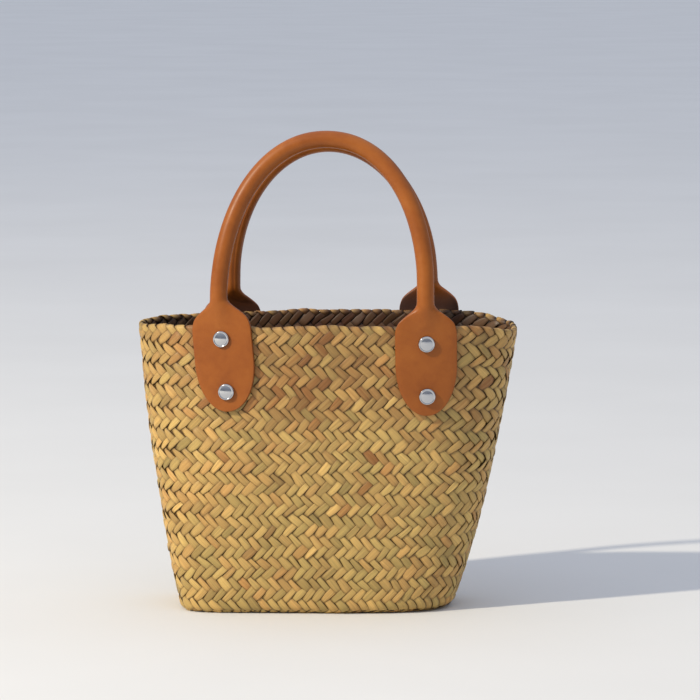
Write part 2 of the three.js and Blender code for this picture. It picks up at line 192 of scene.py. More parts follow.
@dataclass(frozen=True)
class BasketForm:
    """The outer face of the basket's wall, its rounded foot and its dipped rim.

    The rows of LEVELS give the outline from the floor to the rim: height, as a share of the
    basket's height, width and shift of the mouth's width, depth of the mouth's depth, and how
    square the left and the right end are, where 2 is an ellipse.
    """

    height: float = 190 * MM
    mouth_width: float = 249 * MM
    mouth_depth: float = 110 * MM
    foot_left: float = 3 * MM
    foot_right: float = 8 * MM
    dip_left: float = 2.6 * MM
    dip_right: float = 5.6 * MM
    dip_reach_left: float = 1.6
    dip_reach_right: float = 7.0

    LEVELS = np.array([
        # height, width, depth, shift, left, right
        (0.00, 0.717, 0.790, -0.0267, 6.0, 3.2),
        (0.14, 0.776, 0.822, -0.0213, 5.0, 3.2),
        (0.28, 0.825, 0.854, -0.0169, 4.2, 3.2),
        (0.43, 0.871, 0.888, -0.0124, 3.5, 3.3),
        (0.58, 0.911, 0.920, -0.0106, 2.9, 3.3),
        (0.74, 0.949, 0.952, -0.0060, 2.5, 3.4),
        (0.88, 0.976, 0.979, -0.0028, 2.2, 3.4),
        (1.00, 1.000, 1.000, 0.0000, 2.0, 3.5),
    ])

    def outline(self, height: np.ndarray, inset: np.ndarray) -> tuple[np.ndarray, ...]:
        """Give the half width, half depth, middle and squareness of the outline at a height.

        Args:
            height: Above the floor.
            inset: How far the outline is drawn in.

        Returns:
            Half width, half depth, middle, left and right squareness.
        """
        keys = self.LEVELS[:, 0]
        share = height / self.height
        width, depth, shift, left, right = (
            smooth_column(keys, self.LEVELS[:, column], share) for column in range(1, 6)
        )
        half_width = width * self.mouth_width / 2 - inset
        half_depth = depth * self.mouth_depth / 2 - inset
        return half_width, half_depth, shift * self.mouth_width, left, right

    def dip(self, height: np.ndarray, share: np.ndarray) -> np.ndarray:
        """Give how far a point lies below the middle of the front, at a share of the half width."""
        left = self.dip_left * np.abs(share) ** self.dip_reach_left
        right = self.dip_right * np.abs(share) ** self.dip_reach_right
        return (height / self.height) ** 2 * np.where(share < 0, left, right)

    def point(self, bearing: np.ndarray, height: np.ndarray, inset: np.ndarray) -> np.ndarray:
        """Give the wall's point at a bearing from its middle.

        Args:
            bearing: Radians, 0 at the middle of the front and a quarter turn at the right end.
            height: Above the floor, before the rim's dip.
            inset: How deep inside the outer face.

        Returns:
            The points, as rows of X, Y and Z.
        """
        half_width, half_depth, middle, left, right = self.outline(height, inset)
        across, forward = np.sin(bearing), np.cos(bearing)
        square = np.where(across < 0, left, right)
        span = (np.abs(across) / half_width) ** square + (np.abs(forward) / half_depth) ** square
        reach = span ** (-1 / square)
        share = reach * across / half_width
        return np.stack([
            middle + reach * across,
            -reach * forward,
            height - self.dip(height, share),
        ], axis=-1)

    def foot_radius(self, bearing: np.ndarray) -> np.ndarray:
        """Give the rounding between the wall and the base at a bearing."""
        ground = np.zeros_like(bearing)
        half_width, _, middle, left, right = self.outline(ground, ground)
        share = (self.point(bearing, ground, ground)[..., 0] - middle) / half_width
        square = np.where(share < 0, left, right)
        across = np.sign(share) * np.abs(share) ** (square / 2)
        return self.foot_left + (self.foot_right - self.foot_left) * (1 + across) / 2

    def wall_point(self, side: Side, across: float, height: float, inset: float = 0.0) -> Vector:
        """Give the wall's point at a place across the front or the back.

        Args:
            side: Front or back.
            across: X.
            height: Above the floor, before the rim's dip.
            inset: How deep inside the outer face.

        Returns:
            The point.
        """
        half_width, half_depth, middle, left, right = self.outline(np.array(height), inset)
        share = np.clip((across - middle) / half_width, -1, 1)
        square = left if share < 0 else right
        deep = side.value * half_depth * (1 - abs(share) ** square) ** (1 / square)
        return Vector((across, float(deep), float(height - self.dip(height, share))))


@dataclass
class PlaitSheet:
    """The middle surface of the plaited straw: under the foot, up the wall, over the rim and down.

    A place on it is a column, counted round the basket from the middle of the front, and a run,
    the length measured along the wall from the top of the rim, negative outside.
    """

    form: BasketForm
    columns: int = 76
    middle_spacing_low: float = 6.65 * MM
    middle_spacing_high: float = 7.25 * MM
    outer_inset: float = 0.95 * MM
    hem_inset: float = 2.65 * MM
    crown: float = 0.85 * MM
    base_level: float = 1.2 * MM
    unevenness: float = 0.3 * MM
    rim_unevenness: float = 0.3 * MM
    sway: float = 0.09
    bob: float = 0.9 * MM
    settle_low: float = 12 * MM
    settle_high: float = 14 * MM
    bearing_table: np.ndarray = field(init=False)
    table_heights: np.ndarray = field(init=False)

    STEPS_PER_COLUMN = 4
    TABLE_ROWS = 60
    MEASURES = 1500
    RIM_WAVES = ((1.0, 6, 0, 1.0), (0.9, 11, 0, 2.2), (0.8, 19, 0, 0.5))
    SWAYS = ((1, 4, 52, 0.4), (1, 9, -84, 1.9), (1, 15, 120, 0))
    BOBS = ((1, 5, -41, 2.6), (1, 8, 77, 0.9), (1, 13, -118, 0))
    DENTS = ((1, 3, 38, 0.7), (1, 7, -61, 2.1), (1, 12, 95, 4.0))

    def __post_init__(self) -> None:
        """Work out the bearing of each column at each height."""
        self.table_heights = np.linspace(0, self.form.height, self.TABLE_ROWS)
        self.bearing_table = np.array([self.column_bearings(h) for h in self.table_heights])

    @property
    def fold(self) -> float:
        """Radius of the middle surface over the rim."""
        return (self.hem_inset - self.outer_inset) / 2

    @property
    def fold_height(self) -> float:
        """Height of the middle of the rim's fold."""
        return self.form.height - self.crown - self.fold

    def column_bearings(self, height: float) -> np.ndarray:
        """Give the bearings of finely spaced columns round the whole basket at one height.

        Args:
            height: Above the floor.

        Returns:
            Rising bearings, from the middle of the front round to it again.
        """
        quarter = self.columns // 4
        steps = np.linspace(0, quarter, quarter * self.STEPS_PER_COLUMN + 1)
        share = height / self.form.height
        spacing = self.middle_spacing_low + share * (self.middle_spacing_high - self.middle_spacing_low)
        turns = np.linspace(0, math.pi / 2, self.MEASURES)
        level = np.full_like(turns, height)
        quarters = {}
        for end in End:
            points = self.form.point(end.value * turns, level, np.zeros_like(turns))
            flat = points[:, :2]
            lengths = np.concatenate([[0], np.cumsum(np.linalg.norm(np.diff(flat, axis=0), axis=1))])
            spread = lengths[-1] - spacing * quarter
            wanted = spacing * steps + spread * (steps / quarter) ** 3
            quarters[end] = np.interp(wanted, lengths, turns)
        right, left = quarters[End.RIGHT], quarters[End.LEFT]
        return np.concatenate([
            right,
            (math.pi - right[::-1])[1:],
            (math.pi + left)[1:],
            (2 * math.pi - left[::-1])[1:],
        ])

    def bearing(self, column: np.ndarray, height: np.ndarray) -> np.ndarray:
        """Give the bearing of places on the wall, between the table's rows and columns."""
        turns, part = np.divmod(column, self.columns)
        at = part * self.STEPS_PER_COLUMN
        low = np.clip(at.astype(int), 0, self.bearing_table.shape[1] - 2)
        row = np.clip(height / self.form.height, 0, 1) * (self.TABLE_ROWS - 1)
        below = np.clip(row.astype(int), 0, self.TABLE_ROWS - 2)
        u, v = at - low, row - below
        table = self.bearing_table
        lower = table[below, low] * (1 - u) + table[below, low + 1] * u
        upper = table[below + 1, low] * (1 - u) + table[below + 1, low + 1] * u
        return lower * (1 - v) + upper * v + turns * 2 * math.pi

    def place(self, column: np.ndarray, run: np.ndarray) -> np.ndarray:
        """Give the middle surface's points.

        Args:
            column: How far round, in columns.
            run: How far along, from the top of the rim.

        Returns:
            The points, as rows of X, Y and Z.
        """
        column, run = self.warp(column, run)
        foot = self.form.foot_radius(self.bearing(column, np.full_like(column, self.form.foot_left)))
        arc = foot - self.base_level
        quarter_fold = self.fold * math.pi / 2
        wall_top = -quarter_fold
        wall_foot = wall_top - (self.fold_height - foot)
        under = wall_foot - arc * math.pi / 2
        turn = np.clip((run - under) / arc, 0, math.pi / 2)
        rim_turn = np.clip(run / self.fold, -math.pi / 2, math.pi / 2)
        in_foot = run < wall_foot
        over = run > wall_top
        height = np.where(
            in_foot,
            foot - arc * np.cos(turn),
            np.where(
                over,
                self.fold_height + self.fold * np.cos(rim_turn) - np.maximum(run - quarter_fold, 0),
                foot + run - wall_foot,
            ),
        )
        inset = np.where(
            in_foot,
            foot - (foot - self.outer_inset) * np.sin(turn) + np.maximum(under - run, 0),
            np.where(over, self.outer_inset + self.fold * (1 + np.sin(rim_turn)), self.outer_inset),
        )
        height = height + self.rim_wave(column, run)
        return self.form.point(self.bearing(column, height), height, inset)

    def rim_wave(self, column: np.ndarray, run: np.ndarray) -> np.ndarray:
        """Give how much higher the rim stands here, as a hand-turned rim is never quite level."""
        near = smooth_step(-self.settle_high, 0, run) * (1 - smooth_step(0, self.settle_high, run))
        return self.rim_unevenness * near * ripple(self.RIM_WAVES, self.turn(column), run)

    def turn(self, column: np.ndarray) -> np.ndarray:
        """Give how far round columns are, in radians."""
        return column * 2 * math.pi / self.columns

    def warp(self, column: np.ndarray, run: np.ndarray) -> tuple[np.ndarray, np.ndarray]:
        """Shift places slightly, as the rows and diagonals of hand plaiting wander.

        Args:
            column: How far round, in columns.
            run: How far along.

        Returns:
            The shifted column and run, unchanged at the rim and the foot.
        """
        turn = self.turn(column)
        free = smooth_step(0, self.settle_high, -run)
        free = free * smooth_step(-self.form.height, self.settle_low - self.form.height, run)
        sway, bob = ripple(self.SWAYS, turn, run), ripple(self.BOBS, turn, run)
        return column + self.sway * free * sway / 2, run + self.bob * free * bob / 2

    def frame_at(self, column: np.ndarray, run: np.ndarray) -> tuple[np.ndarray, ...]:
        """Give points with the surface's direction round, its direction along, and its normal.

        Args:
            column: How far round, in columns.
            run: How far along.

        Returns:
            Points, change per column, change per metre of run, and unit normals.
        """
        step_round, step_along = 0.02, 0.05 * MM
        here = self.place(column, run)
        around = self.place(column + step_round, run) - self.place(column - step_round, run)
        along = self.place(column, run + step_along) - self.place(column, run - step_along)
        around, along = around / (2 * step_round), along / (2 * step_along)
        return here, around, along, unit(np.cross(around, along))


@dataclass(frozen=True)
class StrandSection:
    """The section of one flattened straw strand, as heights across its half width."""

    across: tuple[float, ...] = (-1.0, -0.82, -0.45, 0.0, 0.45, 0.82, 1.0, 0.6, 0.0, -0.6)
    rounding: float = 3.4
    softness: float = 0.52
    top_points: int = 7

    def heights(self) -> np.ndarray:
        """Give each point's height as a share of half the strand's thickness."""
        u = np.array(self.across)
        crown = (1 - np.minimum(np.abs(u), 0.999) ** self.rounding) ** self.softness
        return np.where(np.arange(len(u)) < self.top_points, crown, -crown)


@dataclass
class Strands:
    """Points, faces and surface values of many strands, gathered into one mesh."""

    section: StrandSection
    points: list[np.ndarray] = field(default_factory=list)
    faces: list[np.ndarray] = field(default_factory=list)
    ends: list[list[int]] = field(default_factory=list)
    values: dict[str, list[np.ndarray]] = field(default_factory=dict)
    grain: list[np.ndarray] = field(default_factory=list)
    count: int = 0

    def add(self, rings: np.ndarray, grain: np.ndarray, **values: np.ndarray) -> None:
        """Add one closed strand.

        Args:
            rings: Points by ring, section point and axis.
            grain: The straw's own coordinates in the same order: across, along and strand.
            values: Named surface values by ring and section point.
        """
        ring_count, width = rings.shape[:2]
        ring, side = np.meshgrid(np.arange(ring_count - 1), np.arange(width), indexing="ij")
        start = self.count + ring * width
        following = (side + 1) % width
        above = start + width
        quads = np.stack([start + side, above + side, above + following, start + following], -1)
        self.faces.append(quads.reshape(-1, 4))
        last = self.count + (ring_count - 1) * width
        self.ends.append(list(range(self.count, self.count + width)))
        self.ends.append(list(range(last + width - 1, last - 1, -1)))
        self.points.append(rings.reshape(-1, 3))
        self.grain.append(grain.reshape(-1, 3))
        for name, value in values.items():
            self.values.setdefault(name, []).append(value.reshape(-1))
        self.count += ring_count * width

    def mesh(self, name: str) -> bpy.types.Mesh:
        """Join the strands into a mesh with their values as attributes.

        Args:
            name: The mesh's name.

        Returns:
            The new mesh.
        """
        mesh = bpy.data.meshes.new(name)
        sides = np.concatenate(self.faces).tolist()
        mesh.from_pydata(np.concatenate(self.points), [], sides + self.ends)
        for key, parts in self.values.items():
            attribute = mesh.attributes.new(key, "FLOAT", "POINT")
            attribute.data.foreach_set("value", np.concatenate(parts).astype(np.float32))
        attribute = mesh.attributes.new("grain", "FLOAT_VECTOR", "POINT")
        attribute.data.foreach_set("vector", np.concatenate(self.grain).astype(np.float32).ravel())
        return mesh


@dataclass(frozen=True)
class StrandVariety:
    """How much the strands differ from each other, and each strand's floats among themselves.

    Tone runs from 0, olive, to 1, russet. The numbers of tone_spread are for the strand, its slow
    change along its length and its floats, those of bright_spread and crease_spread for the strand
    and its floats, and those of width_spread for the strand and its slow change.
    """

    tone: float = 0.44
    tone_spread: tuple[float, float, float] = (0.09, 0.05, 0.10)
    tone_rows: float = 9.0
    tone_gain: float = 0.08
    gain_rows: tuple[float, float] = (10, 34)
    bright: float = -0.1
    bright_spread: tuple[float, float] = (0.45, 0.55)
    crease_spread: tuple[float, float] = (0.5, 0.6)
    width_spread: tuple[float, float] = (0.02, 0.03)
    width_rows: float = 2.5
    width_range: tuple[float, float] = (0.9, 1.06)
    puff_spread: float = 0.2
    puff_range: tuple[float, float] = (0.6, 1.5)
    tilt_spread: float = 0.10
    folds: int = 3


@dataclass
class StrawPlait:
    """The bias plait of the basket's wall, hem and base, in flattened straw strands.

    Rows are counted up the wall, and each strand lies over two crossing strands and under two.
    """

    sheet: PlaitSheet
    variety: StrandVariety = StrandVariety()
    row_height: float = 3.52 * MM
    rim_row: float = 54.8
    foot_row: float = -1.6
    hem_length: float = 18 * MM
    lift: float = 0.5 * MM
    loose_lift: float = 0.6
    thickness: float = 0.9 * MM
    fill: float = 1.03
    edge_spread: float = 0.5 * MM
    edge_knot_rows: float = 2.5
    top_tone: float = 0.22
    top_dark: float = 1.3
    notch: float = 0.10
    end_notch: float = 0.24
    steps_per_row: int = 3
    rim_steps_per_row: int = 8
    core_shade: float = 0.95
    core_tone: float = 0.5
    core_thickness: float = 0.12 * MM
    mat_level: float = 2.1 * MM
    mat_flatness: float = 0.7
    seed: int = 11

    FLOAT_ROWS = 4
    OVER_ROW = {Slant.RISING: 0.5, Slant.FALLING: 2.5}
    NOTCH_ROW = -0.5
    PUFF = 2.1
    LEAN = 0.5
    RIM_BEFORE = 0.9
    RIM_AFTER = 1.7
    END_SHARES = (0.6, 0.9)
    MIDDLE_PIT_SHADE = 0.25
    TOP_ROWS = (30, 47)
    TOP_SPARES_ENDS = 0.75
    FOOT_ROWS = (1, 5)
    TILT_RISE = (-0.3, 0.6)
    FOLD_DEPTH = 0.38
    FOLD_POINT = 2
    WALL_NUMBERS = 200
    BASE_NUMBERS = 500
    NUMBER_STEP = 0.37
    # Reach and strength of the painted shade at strand edges, in pits and where strands dive under.
    EDGE_REACH, EDGE_SHADE = (0.7, 1.0), 0.9
    PIT_REACH, PIT_SHADE = (0.2, 1.0), 0.7
    HIDDEN_RISE = (-0.7, 0.5)
    INSIDE_RUN = (-1.5 * MM, 2 * MM)
    MAT_EDGE_POINTS = 400
    MAT_EDGE_HEIGHT, MAT_EDGE_INSET = 2 * MM, 3.2 * MM
    MAT_SHORTEST = 3
    MAT_STEPS, MAT_FEWEST_STEPS = 2.5, 6

    def __post_init__(self) -> None:
        """Prepare the section and the seeded random numbers."""
        self.section = StrandSection()
        self.random = np.random.default_rng(self.seed)
        rows = self.stations()
        self.edge_knots = np.arange(rows[0] - 1, rows[-1] + 2 * self.edge_knot_rows, self.edge_knot_rows)
        shape = (len(Slant), self.sheet.columns, len(self.edge_knots))
        self.edge_shifts = dict(zip(Slant, self.random.normal(0, self.edge_spread, shape)))

    def shared_edge(self, row: np.ndarray, boundary: int, slant: Slant) -> np.ndarray:
        """Give how far the line between two neighbouring strands has shifted, along its rows."""
        shifts = self.edge_shifts[slant][boundary % self.sheet.columns]
        return smooth_column(self.edge_knots, shifts, row)

    def stations(self) -> np.ndarray:
        """Give the rows where a wall strand has a ring, closer together over the rim."""
        end = self.rim_row + self.hem_length / self.row_height
        near, far = self.rim_row - self.RIM_BEFORE, self.rim_row + self.RIM_AFTER
        steps = round((near - self.foot_row) * self.steps_per_row)
        low = np.linspace(self.foot_row, near, steps, endpoint=False)
        rim = np.linspace(near, far, round((far - near) * self.rim_steps_per_row), endpoint=False)
        high = np.linspace(far, end, round((end - far) * self.steps_per_row) + 1)
        return np.concatenate([low, rim, high])

    def over_and_under(self, row: np.ndarray, slant: Slant) -> np.ndarray:
        """Give how far over (1) or under (-1) the plait a strand lies along its rows."""
        wave = np.cos(2 * math.pi * (row - self.OVER_ROW[Slant.RISING]) / self.FLOAT_ROWS)
        return slant.value * np.tanh(self.PUFF * wave) / math.tanh(self.PUFF)

    def wander(self, row: np.ndarray, knot_rows: float, amount: float) -> np.ndarray:
        """Give a smooth random walk along a strand."""
        span = row[-1] - row[0]
        knots = np.arange(0, span + 2 * knot_rows, knot_rows)
        values = self.random.normal(0, amount, len(knots))
        at = row - row[0]
        return smooth_column(knots, values, at)

    def float_values(self, row: np.ndarray, slant: Slant, spread: float) -> np.ndarray:
        """Give a random value for each float of a strand, changed where the strand is hidden."""
        float_rows = (row - self.OVER_ROW[slant] + self.FLOAT_ROWS / 2) / self.FLOAT_ROWS
        index = np.floor(float_rows).astype(int)
        values = self.random.normal(0, spread, index.max() - index.min() + 1)
        return values[index - index.min()]

    def dress_strand(self, row: np.ndarray, slant: Slant) -> dict[str, np.ndarray]:
        """Choose a strand's colours, creases and widths along its rows.

        Args:
            row: The rows of its rings.
            slant: Which way it leans.

        Returns:
            Named values by ring.
        """
        vary, draw = self.variety, self.random.normal
        own, slow, floats = vary.tone_spread
        tone = draw(vary.tone, own) + self.wander(row, vary.tone_rows, slow)
        tone = tone + self.float_values(row, slant, floats)
        tone = tone + vary.tone_gain * smooth_step(*vary.gain_rows, row)
        own, floats = vary.bright_spread
        bright = draw(vary.bright, own) + self.float_values(row, slant, floats)
        own, floats = vary.crease_spread
        crease = np.clip(draw(0, own) + self.float_values(row, slant, floats), 0, 1)
        own, slow = vary.width_spread
        width = np.clip(1 + draw(0, own) + self.wander(row, vary.width_rows, slow), *vary.width_range)
        puff = np.clip(1 + self.float_values(row, slant, vary.puff_spread), *vary.puff_range)
        tilt = self.float_values(row, slant, vary.tilt_spread)
        look = {"tone": tone, "bright": bright, "crease": crease, "width": width, "puff": puff}
        fold = self.random.integers(0, vary.folds)
        return look | {"tilt": tilt, "fold": fold, "painted_pit_shade": np.zeros_like(row)}

    def wall_strand(self, strands: Strands, index: int, slant: Slant) -> None:
        """Add one strand that climbs the wall, folds over the rim and ends inside the hem.

        Args:
            strands: The mesh it goes into.
            index: Its number round the basket.
            slant: Which way it leans.
        """
        row = self.stations()
        lean = slant.value * self.LEAN
        column = index + lean * row
        run = (row - self.rim_row) * self.row_height
        centre, around, along, normal = self.sheet.frame_at(column, run)
        direction = unit(around * lean / self.row_height + along)
        sideways = np.cross(normal, direction)
        pitch = np.abs(dot(around, sideways))
        look = self.dress_strand(row, slant)
        notch = np.maximum(0, np.cos(2 * math.pi * (row - self.NOTCH_ROW) / self.FLOAT_ROWS)) ** 2
        share = np.abs(centre[:, 0]) / (self.sheet.form.mouth_width / 2)
        towards_end = smooth_step(*self.END_SHARES, share)
        # Painted shade in the pits along every fourth row, stronger towards the ends.
        look["painted_pit_shade"] = notch * (self.MIDDLE_PIT_SHADE + (1 - self.MIDDLE_PIT_SHADE) * towards_end)
        left = self.shared_edge(row + lean, index - 1, slant)
        right = self.shared_edge(row - lean, index, slant)
        half = 0.5 * (pitch * self.fill + left - right) * look["width"]
        half = half * (1 - notch * (self.notch + self.end_notch * towards_end))
        # The upper rows turn more russet and darker, less so towards the ends.
        top_share = smooth_step(*self.TOP_ROWS, row) * (1 - self.TOP_SPARES_ENDS * towards_end)
        look["tone"] = look["tone"] + self.top_tone * top_share
        look["bright"] = look["bright"] - self.top_dark * top_share
        drift = (left + right) / 2

        a, b, d = dot(around, around), dot(around, along), dot(along, along)
        p, q = dot(sideways, around), dot(sideways, along)
        scale = a * d - b * b
        round_step, along_step = (d * p - b * q) / scale, (a * q - b * p) / scale
        across = np.array(self.section.across)[None, :] * half[:, None] + drift[:, None]
        columns = column[:, None] + round_step[:, None] * across
        runs = run[:, None] + along_step[:, None] * across
        points, _, _, normals = self.sheet.frame_at(columns, runs)
        rise = self.over_and_under(row, slant)
        loose = 1 + self.loose_lift * towards_end * smooth_step(*self.FOOT_ROWS, row)
        lift = self.lift * rise * np.where(rise > 0, look["puff"] * loose, 1)
        body = self.section.heights()[None, :] * self.thickness / 2
        groove = self.groove(look["crease"], look["fold"])
        tilt = look["tilt"] * smooth_step(*self.TILT_RISE, rise)
        height = lift[:, None] + body - groove * self.thickness + tilt[:, None] * across
        points = points + normals * (height + self.dents(columns, runs))[..., None]
        number = index + slant.value * self.WALL_NUMBERS
        self.gather(strands, points, rise, look, across, run, number)

    def groove(self, crease: np.ndarray, fold: int) -> np.ndarray:
        """Give the depth of the fold line along a creased strand, by ring and section point."""
        profile = np.zeros(len(self.section.across))
        profile[fold + self.FOLD_POINT] = self.FOLD_DEPTH
        return crease[:, None] * profile[None, :]

    def dents(self, columns: np.ndarray, runs: np.ndarray) -> np.ndarray:
        """Give the slow unevenness of the hand-plaited wall."""
        waves = ripple(self.sheet.DENTS, self.sheet.turn(columns), runs)
        return self.sheet.unevenness * waves / len(self.sheet.DENTS)

    def gather(
        self,
        strands: Strands,
        points: np.ndarray,
        rise: np.ndarray,
        look: dict[str, np.ndarray],
        across: np.ndarray,
        run: np.ndarray,
        number: int,
    ) -> None:
        """Add a strand's rings with their colours, painted shade and straw coordinates to a mesh.

        Args:
            strands: The mesh it goes into.
            points: By ring and section point.
            rise: How far over the plait each ring lies.
            look: The strand's chosen values.
            across: Each point's place across the strand.
            run: Each ring's place along it.
            number: A number of its own.
        """
        shape = points.shape[:2]
        u = np.abs(np.array(self.section.across))[None, :]
        # Inner faces, which get painted shade in the straw finish.
        under = np.arange(shape[1])[None, :] >= self.section.top_points
        folded = smooth_step(*self.INSIDE_RUN, run)[:, None]
        inside = np.where(under, 1 - folded, folded)
        # Painted shade: darker at the strand's edges, where it dives under the crossing strands, and in the
        # pits.
        edge = smooth_step(*self.EDGE_REACH, u)
        painted_dive_shade = (1 - smooth_step(*self.HIDDEN_RISE, rise))[:, None]
        painted_pit_shade = look["painted_pit_shade"][:, None] * smooth_step(*self.PIT_REACH, u)
        shade = 1 - (1 - self.EDGE_SHADE * edge) * (1 - painted_dive_shade) * (1 - self.PIT_SHADE * painted_pit_shade)
        names = ("tone", "bright", "crease")
        spread = {name: np.broadcast_to(look[name][:, None], shape) for name in names}
        along = np.broadcast_to(run[:, None] * math.sqrt(2), shape)
        grain = np.stack([across, along, np.full(shape, number * self.NUMBER_STEP)], axis=-1)
        strands.add(points, grain, shade=shade, inside=inside, **spread)

    def wall(self, finish: bpy.types.Material) -> list[bpy.types.Object]:
        """Plait the wall and the hem in four pieces, two for each way that the strands lean."""
        pieces = []
        half = self.sheet.columns // 2
        for slant in Slant:
            for part in range(2):
                strands = Strands(self.section)
                for index in range(part * half, (part + 1) * half):
                    self.wall_strand(strands, index, slant)
                name = f"plait_{slant.name.lower()}_{part + 1}"
                pieces.append(mesh_object(name, strands.mesh(name), finish))
        return pieces

    def core(self, finish: bpy.types.Material) -> bpy.types.Object:
        """Lay a thin sheet between the plait's two layers, painted dark as shade and seen only in the pits.

        Args:
            finish: The straw.

        Returns:
            The sheet, closed round the basket and open at its two edges.
        """
        around = self.sheet.columns * 2
        runs = (self.stations()[::2] - self.rim_row) * self.row_height
        turns, lengths = np.meshgrid(np.linspace(0, self.sheet.columns, around + 1), runs)
        points, _, _, normals = self.sheet.frame_at(turns, lengths)
        points = points + normals * self.dents(turns, lengths)[..., None]
        # The sheet's part inside the hem, which gets painted shade.
        inside = (lengths > 0) * 1.0
        work = lofted(points, {"shade": self.core_shade, "tone": self.core_tone, "inside": inside})
        bmesh.ops.remove_doubles(work, verts=work.verts, dist=0.01 * MM)
        bmesh.ops.recalc_face_normals(work, faces=work.faces)
        piece = bmesh_object("plait_core", work, finish)
        shell = piece.modifiers.new("shell", "SOLIDIFY")
        shell.thickness, shell.offset = self.core_thickness, 0
        return piece

    def base(self, finish: bpy.types.Material) -> list[bpy.types.Object]:
        """Plait the flat base mat in two pieces, one for each way that the strands run."""
        form = self.sheet.form
        pitch = self.row_height * math.sqrt(2)
        bearings = np.linspace(0, 2 * math.pi, self.MAT_EDGE_POINTS, endpoint=False)
        level, inset = (np.full_like(bearings, v) for v in (self.MAT_EDGE_HEIGHT, self.MAT_EDGE_INSET))
        edge = form.point(bearings, level, inset)[:, :2]
        pieces = []
        for slant in Slant:
            strands = Strands(self.section)
            forward = np.array([slant.value, 1.0]) / math.sqrt(2)
            sideways = np.array([-1.0, slant.value]) / math.sqrt(2)
            reach = edge @ sideways
            for number in range(math.ceil(reach.min() / pitch), math.floor(reach.max() / pitch) + 1):
                ends = self.chord(edge, sideways, forward, number * pitch)
                if ends[1] - ends[0] > self.MAT_SHORTEST * pitch:
                    self.mat_strand(strands, number, slant, forward, sideways, ends)
            name = f"base_mat_{slant.name.lower()}"
            pieces.append(mesh_object(name, strands.mesh(name), finish))
        return pieces

    @staticmethod
    def chord(
        edge: np.ndarray, sideways: np.ndarray, forward: np.ndarray, offset: float
    ) -> tuple[float, float]:
        """Give where a straight line enters and leaves the base's edge.

        Args:
            edge: The edge's points.
            sideways: The line's unit normal.
            forward: Its direction.
            offset: Its distance from the origin.

        Returns:
            The two places along the line.
        """
        gap = edge @ sideways - offset
        crossing = gap * np.roll(gap, -1) < 0
        share = gap / (gap - np.roll(gap, -1))
        meets = edge + (np.roll(edge, -1, axis=0) - edge) * share[:, None]
        places = (meets @ forward)[crossing]
        return float(places.min()), float(places.max())

    def mat_strand(
        self,
        strands: Strands,
        number: int,
        slant: Slant,
        forward: np.ndarray,
        sideways: np.ndarray,
        ends: tuple[float, float],
    ) -> None:
        """Add one flat strand of the base mat.

        Args:
            strands: The mesh it goes into.
            number: Its number across the mat.
            slant: Which way it runs.
            forward: Its direction.
            sideways: The direction across it.
            ends: Where it starts and stops along forward.
        """
        pitch = self.row_height * math.sqrt(2)
        steps = max(round((ends[1] - ends[0]) / pitch * self.MAT_STEPS), self.MAT_FEWEST_STEPS)
        place = np.linspace(ends[0], ends[1], steps)
        row = place / pitch + slant.value * number
        rise = self.over_and_under(row, slant)
        look = self.dress_strand(row, slant)
        half = 0.5 * pitch * self.fill * look["width"]
        across = np.array(self.section.across)[None, :] * half[:, None]
        level = self.mat_level + self.lift * self.mat_flatness * rise[:, None]
        height = level + self.section.heights()[None, :] * self.mat_flatness * self.thickness / 2
        flat = (
            place[:, None, None] * forward
            + number * pitch * sideways
            + across[..., None] * sideways
        )
        points = np.concatenate([flat, height[..., None]], axis=-1)
        # A run past the rim's fold, so that the mat's top faces get the inner faces' painted shade.
        hidden = np.full_like(place, self.hem_length)
        mark = number + slant.value * self.BASE_NUMBERS
        self.gather(strands, points, rise, look, across, hidden, mark)


class SmoothLine:
    """A centripetal Catmull-Rom line through points, measured along its length."""

    STEPS = 24

    def __init__(self, points: list[Vector]) -> None:
        """Sample the line finely.

        Args:
            points: What it passes through.
        """
        through = np.array([tuple(point) for point in points])
        first, last = 2 * through[0] - through[1], 2 * through[-1] - through[-2]
        padded = np.vstack([first, through, last])
        t = np.linspace(0, 1, self.STEPS, endpoint=False)[:, None]
        parts = []
        for a, b, c, d in zip(padded, padded[1:], padded[2:], padded[3:]):
            gaps = [np.linalg.norm(q - p) ** 0.5 for p, q in ((a, b), (b, c), (c, d))]
            out = (b - a) / gaps[0] - (c - a) / (gaps[0] + gaps[1]) + (c - b) / gaps[1]
            back = (c - b) / gaps[1] - (d - b) / (gaps[1] + gaps[2]) + (d - c) / gaps[2]
            out, back = out * gaps[1], back * gaps[1]
            parts.append(hermite(t, b, out, c, back))
        self.samples = np.vstack([*parts, through[-1:]])
        steps = np.linalg.norm(np.diff(self.samples, axis=0), axis=1)
        self.lengths = np.concatenate([[0], np.cumsum(steps)])

    @property
    def length(self) -> float:
        """The line's whole length."""
        return float(self.lengths[-1])

    def at(self, length: float) -> np.ndarray:
        """Give the point a length along the line."""
        return np.array([np.interp(length, self.lengths, self.samples[:, i]) for i in range(3)])

    def tangent(self, length: float) -> np.ndarray:
        """Give the line's direction a length along it."""
        step = 0.4 * MM
        return unit(self.at(min(length + step, self.length)) - self.at(max(length - step, 0)))


@dataclass(frozen=True)
class Neck:
    """Where a tab turns into the roll: across the bag, above the rim, and the tab's tilt in degrees.

    A tab with a positive tilt leans its lower end towards the middle.
    """

    place: float
    rise: float
    tilt: float


@dataclass(frozen=True)
class TabSeat:
    """Where a tab lies: its foot on the wall, its own axes, and how far its back stands off."""

    origin: np.ndarray
    up: np.ndarray
    out: np.ndarray
    lift: float


